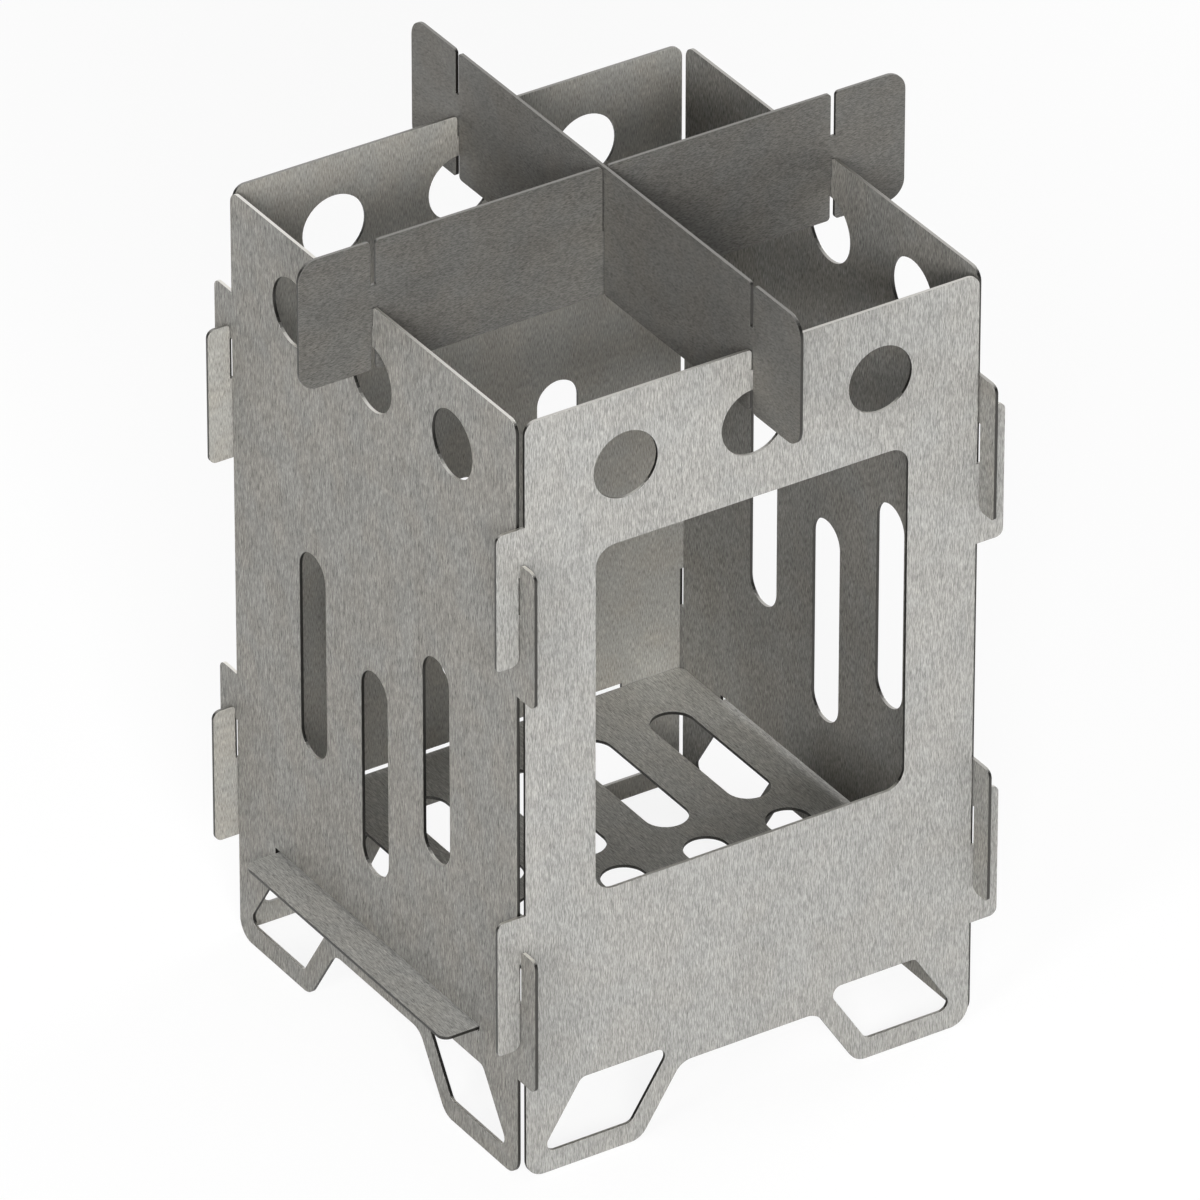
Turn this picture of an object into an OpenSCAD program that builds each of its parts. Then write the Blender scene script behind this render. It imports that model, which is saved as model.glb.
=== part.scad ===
// Twig stove that packs flat: four slotted panels hooked into a square chimney,
// a grate tray across it, and two crossed plates that carry the pot.
// Millimetres, +Z up. The door faces -Y, and the feet stand on Z = 0.

/* [Sheet] */
// Thickness of every sheet
sheet_t = 0.65; // [0.5:0.05:1]
// How much wider a slot is than the sheet in it
slot_play = 0.45; // [0.2:0.05:0.6]
// Gap between a sheet and the edge that it rests on or stops at
seat_gap = 0.1; // [0.05:0.05:0.2]
// Radius of the eased mouth of a narrow slot
mouth_r = 0.8; // [0.4:0.1:1.2]

/* [Panels] */
// Distance between the middles of two facing panels
pitch = 100; // [94:1:112]
// Height of a panel
panel_h = 163.5; // [158:0.5:190]
// How far a panel's upright edge stays short of its neighbour's middle
edge_gap = 0.8; // [0.7:0.1:1.2]
// Radius of a panel's top corners
top_r = 2.5; // [1:0.5:5]
// Depth of the notch in a panel's top edge
notch_d = 4.4; // [3:0.2:6]

/* [Vent holes] */
// Diameter of a vent hole
hole_d = 13.8; // [10:0.2:15]
// Distance between the middles of two vent holes
hole_pitch = 27.6; // [24:0.2:30]
// Distance from a panel's top edge down to the middle of its holes
hole_drop = 15.4; // [14.5:0.2:18]

/* [Hooks] */
// How far a hook reaches past its neighbour's middle
hook_reach = 5.3; // [4:0.1:7]
// Height of a hook
hook_h = 28.8; // [26:0.2:32]
// Height of the web that joins a raised hook to its panel
web_up = 17.2; // [15:0.2:18]
// Height of the web that joins a hanging hook to its panel
web_down = 10.2; // [8:0.2:12]
// How much higher the hanging hooks start than the raised ones
hook_shift = 7.3; // [6:0.1:9]
// Height at which the lower raised hooks start
hook_z = 22.1; // [20:0.2:30]
// Distance between the lower hooks and the upper ones
hook_pitch = 83.5; // [76:0.5:88]
// Radius of a hook's corners
hook_r = 1.6; // [0.8:0.1:2]

/* [Feet] */
// Height of the arch between two feet
arch_h = 14; // [10:0.5:17]
// Width of the arch at the ground
arch_base = 48; // [42:0.5:54]
// Width of the arch at its top
arch_top = 30; // [24:0.5:36]
// Radius of the corners of the feet and the arch
foot_r = 4; // [2:0.5:4.5]
// Width of the window in a foot, along the ground
window_w = 19.9; // [14:0.1:20.5]
// Height of the window in a foot
window_h = 14; // [10:0.5:15]
// Height of the strip under the window
window_z = 4.4; // [3.5:0.1:5.5]
// Steel left between the arch's slope and the window, along the ground
window_web = 5; // [3.5:0.1:6]
// Radius of the window's corners
window_r = 1.8; // [1:0.1:3]

/* [Fuel door] */
// Width of the fuel door
door_w = 68; // [56:0.5:76]
// Height of the door's sill
door_z = 57.9; // [56:0.1:62]
// Distance from a panel's top edge down to the door
door_drop = 31.5; // [29:0.1:45]
// Radius of the door's corners
door_r = 4; // [2:0.5:8]

/* [Draught slots] */
// Width of a draught slot
draught_w = 9.2; // [6:0.2:12]
// Height of a draught slot
draught_h = 44.4; // [36:0.2:48]
// Distance between the middles of two draught slots
draught_pitch = 21.5; // [17:0.5:25]
// Height of the middle of the two outer slots
draught_z = 76.8; // [72:0.2:80]
// How much lower the slot between them sits
draught_drop = 14.5; // [8:0.5:16]

/* [Grate tray] */
// Height of the tray's underside
tray_z = 25.2; // [24:0.1:28]
// Radius of the tray's corners
tray_r = 1.5; // [0.5:0.1:3]
// Width of the tabs that pass through the side panels
tab_w = 70.4; // [60:0.2:74]
// How far a tab sticks out past its panel
tab_out = 7.5; // [4:0.1:12]
// Radius of a tab's corners
tab_r = 2; // [1:0.1:3]
// Play along a slit at each end of its tab
slit_end = 0.8; // [0.4:0.1:1]
// Play over a tab in its slit
slit_play = 0.75; // [0.3:0.05:1]
// Width of a slot in the grate
grate_w = 9; // [6:0.2:11]
// Length of a slot in the grate
grate_l = 34.9; // [28:0.1:37]
// Distance between the middles of two slots in a row
grate_pitch = 18.5; // [16:0.1:19.5]
// Width of the bar between the two rows
grate_bar = 5.3; // [4:0.1:8]
// How many slots a row has
grate_n = 5; // [3:2:5]

/* [Pot supports] */
// Length of a pot support
support_l = 132; // [120:1:150]
// Height of a pot support
support_h = 27.1; // [22:0.1:32]
// Depth of the slots over and under each panel's top edge
support_slot = 9.2; // [8:0.1:10]
// Radius of a pot support's corners
support_r = 4; // [2:0.5:6]

/* [Hidden] */

$fn = 96;
// How far a cutter reaches past the edge that it cuts
eps = 0.5;
// The same for a corner's cutter, as a factor on its size
overrun = 1.1;
// How far an arc reaches past the edges that it meets, so that it crosses them
kiss = 0.001;

panel_steel = [0.69, 0.68, 0.66];
tray_steel = [0.56, 0.55, 0.53];
support_steel = [0.47, 0.46, 0.44];

slot_w = sheet_t + slot_play;
half = pitch / 2;
edge_u = half - edge_gap;
tip_u = half + hook_reach;
hook_in = half + slot_w / 2;
hole_z = panel_h - hole_drop;
slope = (arch_base - arch_top) / 2 / arch_h;
support_z = panel_h - notch_d - support_slot + seat_gap;

// Rounded outlines. An outline is a list of [x, y, radius], and the radius is 0
// wherever the corner points inward.

function unit(v) = v / norm(v);
function flat(p) = [p[0], p[1]];
function arc_centre(p, u, v, r) =
    let (bisector = unit(u + v), half_angle = acos(u * v) / 2)
    p + bisector * r / sin(half_angle);

// What lies between the corner p, with neighbours a and b, and an arc of
// radius r in it. It reaches past the corner, so that it cuts cleanly.
module corner(a, p, b, r) {
    u = unit(a - p);
    v = unit(b - p);
    c = arc_centre(p, u, v, r);
    run = r / tan(acos(u * v) / 2);
    to_u = p + u * run - c;
    to_v = p + v * run - c;
    difference() {
        polygon([c, c + to_u * overrun, c + (p - c) * overrun, c + to_v * overrun]);
        translate(c) circle(r + kiss);
    }
}

module rounded(outline) {
    n = len(outline);
    difference() {
        polygon([for (p = outline) flat(p)]);
        for (i = [0 : n - 1])
            if (outline[i][2] > 0)
                corner(flat(outline[(i + n - 1) % n]), flat(outline[i]),
                       flat(outline[(i + 1) % n]), outline[i][2]);
    }
}

// A long hole with round ends, standing up, centred on the origin
module long_hole(w, l) {
    square([w, l - w], center = true);
    for (side = [-1, 1]) translate([0, side * (l - w) / 2]) circle(d = w);
}

// A narrow slot down from the x axis, with an eased mouth
module edge_slot(depth) {
    translate([-slot_w / 2, -depth]) square([slot_w, depth + eps]);
    difference() {
        translate([-slot_w / 2 - mouth_r, -mouth_r])
            square([slot_w + 2 * mouth_r, mouth_r + eps]);
        for (side = [-1, 1])
            translate([side * (slot_w / 2 + mouth_r), -mouth_r]) circle(mouth_r);
    }
}

// Panels, drawn as seen from outside: x across, y up.

// A hook on the right edge, open upward, from its start z
function raised_hook(z) = [
    [edge_u, z, 0],
    [tip_u, z, hook_r],
    [tip_u, z + hook_h, hook_r],
    [hook_in, z + hook_h, hook_r / 2],
    [hook_in, z + web_up, 0],
    [edge_u, z + web_up, 0]
];

// A hook on the left edge, open downward, from its start z
function hanging_hook(z) = [
    [-edge_u, z + hook_h, 0],
    [-tip_u, z + hook_h, hook_r],
    [-tip_u, z, hook_r / 2],
    [-hook_in, z, hook_r],
    [-hook_in, z + hook_h - web_down, 0],
    [-edge_u, z + hook_h - web_down, 0]
];

panel_outline = [
    [-edge_u, 0, foot_r],
    [edge_u, 0, foot_r],
    each raised_hook(hook_z),
    each raised_hook(hook_z + hook_pitch),
    [edge_u, panel_h, top_r],
    [-edge_u, panel_h, top_r],
    each hanging_hook(hook_z + hook_shift + hook_pitch),
    each hanging_hook(hook_z + hook_shift)
];

// The arch between the feet, with the inner toes rounded off
module foot_arch() {
    low = arch_base / 2 + slope * eps;
    rounded([
        [-low, -eps, 0],
        [low, -eps, 0],
        [arch_top / 2, arch_h, foot_r],
        [-arch_top / 2, arch_h, foot_r]
    ]);
    for (side = [-1, 1])
        corner([side * edge_u, 0], [side * arch_base / 2, 0],
               [side * arch_top / 2, arch_h], foot_r);
}

// The slanted window in the left foot. Its sides run along the arch's slope.
module foot_window() {
    lean = slope * window_h;
    right = -arch_base / 2 + slope * window_z - window_web;
    rounded([
        [right - window_w, window_z, window_r],
        [right, window_z, window_r],
        [right + lean, window_z + window_h, window_r],
        [right + lean - window_w, window_z + window_h, window_r]
    ]);
}

module panel_blank() {
    difference() {
        rounded(panel_outline);
        foot_arch();
        translate([0, panel_h]) edge_slot(notch_d);
        for (i = [-1 : 1]) translate([i * hole_pitch, hole_z]) circle(d = hole_d);
        foot_window();
        mirror([1, 0]) foot_window();
    }
}

module fuel_door() {
    side = door_w / 2;
    top = panel_h - door_drop;
    rounded([
        [-side, door_z, door_r],
        [side, door_z, door_r],
        [side, top, door_r],
        [-side, top, door_r]
    ]);
}

module draught_slots() {
    for (i = [-1 : 1])
        translate([i * draught_pitch, draught_z - (i == 0 ? draught_drop : 0)])
            long_hole(draught_w, draught_h);
}

module tray_slit() {
    long = tab_w + 2 * slit_end;
    translate([-long / 2, tray_z]) square([long, sheet_t + slit_play]);
}

// Stands a flat outline up as a panel that faces the given way round
module stand(way_round) {
    rotate([0, 0, way_round]) translate([0, -half, 0]) rotate([90, 0, 0])
        linear_extrude(sheet_t, center = true) children();
}

module front_panel() {
    color(panel_steel) stand(0) difference() {
        panel_blank();
        fuel_door();
    }
}

// The other three panels are alike. The back one's slit stays empty.
module slotted_panel(way_round) {
    color(panel_steel) stand(way_round) difference() {
        panel_blank();
        draught_slots();
        tray_slit();
    }
}

module right_panel() {
    slotted_panel(90);
}

module back_panel() {
    slotted_panel(180);
}

module left_panel() {
    slotted_panel(270);
}

// Grate tray

// The outline's front right quarter
function tray_quarter() =
    let (
        side = half - sheet_t / 2 - seat_gap,
        out = half + sheet_t / 2 + tab_out
    ) [
        [side, -side, tray_r],
        [side, -tab_w / 2, 0],
        [out, -tab_w / 2, tab_r]
    ];

function mirrored(points, sx, sy) = [for (p = points) [p[0] * sx, p[1] * sy, p[2]]];
function reversed(points) = [for (i = [len(points) - 1 : -1 : 0]) points[i]];

tray_outline = [
    each tray_quarter(),
    each reversed(mirrored(tray_quarter(), 1, -1)),
    each mirrored(tray_quarter(), -1, -1),
    each reversed(mirrored(tray_quarter(), -1, 1))
];

module grate_tray() {
    color(tray_steel) translate([0, 0, tray_z]) linear_extrude(sheet_t) difference() {
        rounded(tray_outline);
        for (i = [0 : grate_n - 1], row = [-1, 1])
            translate([(i - (grate_n - 1) / 2) * grate_pitch,
                       row * (grate_bar + grate_l) / 2])
                long_hole(grate_w, grate_l);
    }
}

// Pot supports. Each straddles two facing panels, and they halve into each other.

module support_blank() {
    side = support_l / 2;
    difference() {
        rounded([
            [-side, 0, support_r],
            [side, 0, support_r],
            [side, support_h, support_r],
            [-side, support_h, support_r]
        ]);
        for (x = [-half, half]) {
            translate([x, support_h]) edge_slot(support_slot);
            translate([x, 0]) mirror([0, 1]) edge_slot(support_slot);
        }
    }
}

module stand_support(way_round) {
    translate([0, 0, support_z]) rotate([90, 0, way_round])
        linear_extrude(sheet_t, center = true) children();
}

// Runs from left to right, with its halving slot open at the top
module pot_support_lower() {
    color(support_steel) stand_support(0) difference() {
        support_blank();
        translate([0, support_h]) edge_slot(support_h / 2);
    }
}

// Runs from front to back, with its halving slot open at the bottom
module pot_support_upper() {
    color(support_steel) stand_support(90) difference() {
        support_blank();
        mirror([0, 1]) edge_slot(support_h / 2 + seat_gap);
    }
}

front_panel();
left_panel();
back_panel();
right_panel();
grate_tray();
pot_support_lower();
pot_support_upper();
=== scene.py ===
"""Looks of a flat-pack twig stove: brushed stainless sheet on a pale studio floor."""

import math

import bpy
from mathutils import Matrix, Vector

# The camera, fitted to the photograph: where it looks, and from where
TARGET = Vector((-0.0011, 0.0067, 0.0840))
AZIMUTH = 32.57
ELEVATION = 31.86
DISTANCE = 2.791
LENS_MM = 449.1
SENSOR_MM = 36
SHIFT = (0.0172, -0.0137)
CLIP_START = 0.1

X, Y, Z = Vector((1, 0, 0)), Vector((0, 1, 0)), Vector((0, 0, 1))

# The steel: its roughness, how far that swings, how far the brushing stretches a
# highlight, and the bump of its scratches, in metres
ROUGHNESS = 0.75
ROUGHNESS_SWING = 0.05
ANISOTROPIC = 0.4
BUMP_STRENGTH = 0.2
BUMP_HEIGHT = 0.0001

# The brushing: how wide and how long one scratch is, in metres, and how strongly it
# shows. A side panel is seen at a slant, so its scratches are wider and stronger
PLAIN_GRAIN = (0.00012, 0.0013, 0.52)
SIDE_GRAIN = (0.00015, 0.0013, 0.68)
FINE_GRAIN = (0.00014, 0.0007, 0.50)

# A sheet's cool and warm tint, and how much its cloudiness lightens and darkens it
NEUTRAL = ((0.9965, 0.990, 0.9525), (1.0035, 0.988, 0.9415), 0.03)
WARMER = ((0.993, 0.979, 0.923), (1.007, 0.974, 0.900), 0.05)
# How far one cloud and one tint reach, in metres. Along the grain a cloud is stretched
CLOUD = 0.006
CLOUD_STRETCH = 2
TINT = 0.009

# A noise runs from 0 to 1, mostly near the middle. Each of its effects is spread over
# the part of it given here
SCRATCH_RANGE = (0.25, 0.75)
ROUGHNESS_RANGE = (0.3, 0.7)
CLOUD_RANGE = (0.3, 0.7)
TINT_RANGE = (0.4, 0.6)

# A cut edge: the reach of its rounding in metres, its colour and its roughness, and
# the tint of a top edge's painted highlight, which stands in for light from above
EDGE_R = 0.00012
DARK_EDGE = (0.08, 0.078, 0.073, 1)
EDGE_ROUGH = 0.4
HIGHLIGHT_TINT = (1.0, 0.975, 0.92)
# The cosines between which a normal goes over from a cut edge to the sheet's face, and
# from another edge to a top edge
FACE_RANGE = (0.4, 0.6)
TOP_RANGE = (0.6, 0.9)

# The floor: its size, how far it lies below the feet, in metres, and its grey
FLOOR_SIZE = 20
FLOOR_DROP = 0.0001
FLOOR_GREY = (0.85, 0.85, 0.85, 1)
# How much of the floor's look is plain white, wherever it is seen. A reflection sees
# that white fade out from FAR to NEAR the stove, in metres, where the stove shades it
FLOOR_WHITE = 0.88
FAR, NEAR = 0.25, 0.07
WHITE = (1.0, 1.0, 1.0, 1.0)

# The room: how high its white sweep stands, in degrees, the cosines at which the sweep
# starts and is full, and how bright the room and the sweep are
SWEEP_ELEVATION = 30
SWEEP_RANGE = (0.3, 0.9)
ROOM_LEVEL, SWEEP_LEVEL = 0.12, 0.9

# The lamps: degrees from the front towards the left, degrees up, width and height in
# metres, and watts
LAMP_DISTANCE = 1.6
LAMPS = {
    "key": (28, 23, 0.5, 0.35, 30),
    "side": (66, 20, 0.4, 0.4, 14),
    "fill": (-105, 20, 0.6, 0.4, 9),
}

# Each node's sheet: the way it faces, the way its grain runs, its scratches, its tints,
# its tone, which holds painted light and shade, and how bright the painted highlight on
# its top edges is
SHEETS = {
    # the tones differ by how light falls on each sheet: painted shade darkens the side panels
    # and the pot supports
    "front_panel": (Y, Z, PLAIN_GRAIN, NEUTRAL, 0.447, 0.67),
    "back_panel": (Y, Z, PLAIN_GRAIN, WARMER, 0.495, 0.34),
    "left_panel": (X, Z, SIDE_GRAIN, WARMER, 0.28, 0.88),
    "right_panel": (X, Z, SIDE_GRAIN, WARMER, 0.31, 0.50),
    "grate_tray": (Z, Y, PLAIN_GRAIN, NEUTRAL, 0.52, 0.50),
    "pot_support_lower": (Y, X, FINE_GRAIN, WARMER, 0.235, 0.29),
    "pot_support_upper": (X, Y, FINE_GRAIN, WARMER, 0.235, 0.29),
}


def away(azimuth, elevation):
    """A direction: degrees from the front towards the left, and degrees up"""
    a, e = math.radians(azimuth), math.radians(elevation)
    return Vector((-math.sin(a) * math.cos(e), -math.cos(a) * math.cos(e), math.sin(e)))


def place(thing, azimuth, elevation, distance):
    """Puts a camera or a lamp in the scene and turns it to the target"""
    bpy.context.scene.collection.objects.link(thing)
    direction = away(azimuth, elevation)
    thing.location = TARGET + direction * distance
    thing.rotation_euler = (-direction).to_track_quat("-Z", "Y").to_euler()


def make_camera():
    camera = bpy.data.objects.new("camera", bpy.data.cameras.new("camera"))
    place(camera, AZIMUTH, ELEVATION, DISTANCE)
    camera.data.lens = LENS_MM
    camera.data.sensor_width = SENSOR_MM
    camera.data.shift_x, camera.data.shift_y = SHIFT
    camera.data.clip_start = CLIP_START
    bpy.context.scene.camera = camera


class Nodes:
    """A short way to build the nodes of a material or of the world"""

    def __init__(self, owner):
        owner.use_nodes = True
        self.tree = owner.node_tree
        self.tree.nodes.clear()

    def feed(self, socket, value):
        """Sets an input to a value, or links it to another node's output"""
        if isinstance(value, bpy.types.NodeSocket):
            self.tree.links.new(value, socket)
        else:
            socket.default_value = value

    def add(self, kind, *values, **inputs):
        """A node, with values for its first inputs and for inputs by their names"""
        node = self.tree.nodes.new("ShaderNode" + kind)
        for i, value in enumerate(values):
            self.feed(node.inputs[i], value)
        for name, value in inputs.items():
            self.feed(node.inputs[name.replace("_", " ")], value)
        return node

    def calc(self, operation, a, b, clamp=False):
        node = self.add("Math", a, b)
        node.operation = operation
        node.use_clamp = clamp
        return node.outputs[0]

    def vector_calc(self, operation, *vectors):
        node = self.add("VectorMath", *vectors)
        node.operation = operation
        return node.outputs

    def noise(self, spot, cell, detail, roughness):
        """Noise whose cells measure cell = (x, y, z), in metres"""
        scaled = self.add("Mapping", Vector=spot, Scale=[1 / c for c in cell]).outputs[0]
        node = self.add("TexNoise", Vector=scaled, Scale=1.0, Detail=detail, Roughness=roughness)
        return node.outputs["Fac"]

    def ramp(self, value, low, high, out_low=0.0, out_high=1.0):
        """Spreads the values from low to high over out_low to out_high"""
        return self.add("MapRange", value, low, high, out_low, out_high).outputs[0]

    def along(self, vector, way, low, high, out_low=0.0, out_high=1.0):
        """A ramp over the cosine between a vector and a way"""
        cosine = self.vector_calc("DOT_PRODUCT", vector, way)["Value"]
        return self.ramp(cosine, low, high, out_low, out_high)

    def mix(self, factor, a, b, blend="MIX"):
        """A mix of two colours"""
        node = self.add("Mix")
        node.data_type = "RGBA"
        node.blend_type = blend
        inputs = {socket.identifier: socket for socket in node.inputs}
        self.feed(inputs["Factor_Float"], factor)
        self.feed(inputs["A_Color"], a)
        self.feed(inputs["B_Color"], b)
        return next(s for s in node.outputs if s.identifier == "Result_Color")

    def output(self, kind, shader):
        self.add("Output" + kind, shader)


def toned(tint, tone_and_painted_light):
    """A tint at a tone that holds painted light, as a colour with its alpha"""
    return [tone_and_painted_light * c for c in tint] + [1]


def stretched(grain, width, length):
    """The size of a noise's cells: their length along the grain, and their width across"""
    return [length if g else width for g in grain]


def face_colour(n, spot, fine, grain, strength, tints, tone_and_painted_light):
    """A sheet's tone, with its painted light and shade, its faint tints, its scratches and its
    cloudiness
    """
    cool, warm, cloudy = tints
    tint = n.noise(spot, [TINT] * 3, detail=2.0, roughness=0.5)
    colour = n.mix(n.ramp(tint, *TINT_RANGE), toned(cool, tone_and_painted_light), toned(warm, tone_and_painted_light))
    cell = stretched(grain, CLOUD, CLOUD_STRETCH * CLOUD)
    broad = n.noise(spot, cell, detail=3.0, roughness=0.6)
    scratches = n.ramp(fine, *SCRATCH_RANGE, 1 - strength, 1 + strength)
    clouds = n.ramp(broad, *CLOUD_RANGE, 1 - cloudy, 1 + cloudy)
    light = n.calc("MULTIPLY", scratches, clouds)
    grey = n.add("CombineColor", Red=light, Green=light, Blue=light).outputs[0]
    return n.mix(1.0, colour, grey, "MULTIPLY")


def edge_colour(n, normal, top_edge_highlight):
    """A cut edge is dark, and a top edge is painted bright as a highlight"""
    # a top-facing edge gets a painted highlight, as if lit from above
    return n.mix(n.along(normal, Z, *TOP_RANGE), DARK_EDGE, toned(HIGHLIGHT_TINT, top_edge_highlight))


def on_face(n, normal, facing):
    """1 on the sheet's two faces, and 0 on its cut edges"""
    either_way = n.vector_calc("ABSOLUTE", normal)["Vector"]
    return n.along(either_way, facing, *FACE_RANGE)


def brushed_steel(name, facing, grain, scratch, tints, tone_and_painted_light, top_edge_highlight):
    """Brushed sheet: facing is the sheet's normal, and grain the way its scratches run"""
    material = bpy.data.materials.new(name)
    n = Nodes(material)
    spot = n.add("TexCoord").outputs["Object"]
    width, length, strength = scratch
    fine = n.noise(spot, stretched(grain, width, length), detail=2.0, roughness=0.65)

    normal = n.add("NewGeometry").outputs["True Normal"]
    face = on_face(n, normal, facing)
    # the sheet's tone holds painted light and shade
    sheet = face_colour(n, spot, fine, grain, strength, tints, tone_and_painted_light)
    # the cut edges take the edge colour, whose top edges hold a painted highlight
    colour = n.mix(face, edge_colour(n, normal, top_edge_highlight), sheet)

    low, high = ROUGHNESS - ROUGHNESS_SWING, ROUGHNESS + ROUGHNESS_SWING
    brushed = n.ramp(fine, *ROUGHNESS_RANGE, low, high)
    rough = n.ramp(face, 0.0, 1.0, EDGE_ROUGH, brushed)
    tangent = n.add("CombineXYZ", *grain.cross(facing)).outputs[0]
    soft = n.add("Bevel", Radius=EDGE_R).outputs[0]
    bump = n.add("Bump", Strength=BUMP_STRENGTH, Distance=BUMP_HEIGHT, Height=fine, Normal=soft)

    bsdf = n.add("BsdfPrincipled", Metallic=1.0, Anisotropic=ANISOTROPIC, Base_Color=colour,
                 Roughness=rough, Tangent=tangent, Normal=bump.outputs[0])
    n.output("Material", bsdf.outputs[0])
    return material


def seen_directly(n):
    """1 where the eye looks, and also a reflection or a refraction away from the stove"""
    path = n.add("LightPath").outputs
    spot = n.add("TexCoord").outputs["Object"]
    clear = n.ramp(n.vector_calc("LENGTH", spot)["Value"], NEAR, FAR)
    mirrored = n.calc("ADD", path["Is Glossy Ray"], path["Is Transmission Ray"], clamp=True)
    return n.calc("ADD", path["Is Camera Ray"], n.calc("MULTIPLY", mirrored, clear), clamp=True)


def make_floor():
    bpy.ops.mesh.primitive_plane_add(size=FLOOR_SIZE, location=(0, 0, -FLOOR_DROP))
    floor = bpy.context.object
    floor.name = "floor"
    material = bpy.data.materials.new("floor")
    n = Nodes(material)
    pale = n.add("BsdfDiffuse", Color=FLOOR_GREY).outputs[0]
    white = n.add("Emission", Color=WHITE, Strength=1.0).outputs[0]
    share = n.calc("MULTIPLY", seen_directly(n), FLOOR_WHITE)
    n.output("Material", n.add("MixShader", share, pale, white).outputs[0])
    floor.data.materials.append(material)


def make_world():
    """A studio with a white sweep at the back and a dimmer room in front"""
    world = bpy.data.worlds.new("world")
    bpy.context.scene.world = world
    n = Nodes(world)
    way = n.add("TexCoord").outputs["Generated"]
    sweep = away(AZIMUTH + 180, SWEEP_ELEVATION)
    level = n.along(way, sweep, *SWEEP_RANGE, ROOM_LEVEL, SWEEP_LEVEL)
    n.output("World", n.add("Background", Color=WHITE, Strength=level).outputs[0])


def area_light(name, azimuth, elevation, width, height, power):
    light = bpy.data.objects.new(name, bpy.data.lights.new(name, "AREA"))
    place(light, azimuth, elevation, LAMP_DISTANCE)
    light.data.shape = "RECTANGLE"
    light.data.size = width
    light.data.size_y = height
    light.data.energy = power


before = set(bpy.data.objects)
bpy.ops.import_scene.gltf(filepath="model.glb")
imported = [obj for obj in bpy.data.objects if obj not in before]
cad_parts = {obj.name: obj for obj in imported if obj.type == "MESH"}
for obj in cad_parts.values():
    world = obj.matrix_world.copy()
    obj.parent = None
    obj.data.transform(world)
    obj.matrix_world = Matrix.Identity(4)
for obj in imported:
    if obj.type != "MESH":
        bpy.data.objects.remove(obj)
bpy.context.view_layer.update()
make_camera()

for node, sheet in SHEETS.items():
    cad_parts[node].data.materials[0] = brushed_steel(node + "_steel", *sheet)

make_floor()
make_world()
for name, lamp in LAMPS.items():
    area_light(name, *lamp)
bpy.context.scene.view_settings.view_transform = "Standard"

bpy.context.view_layer.update()
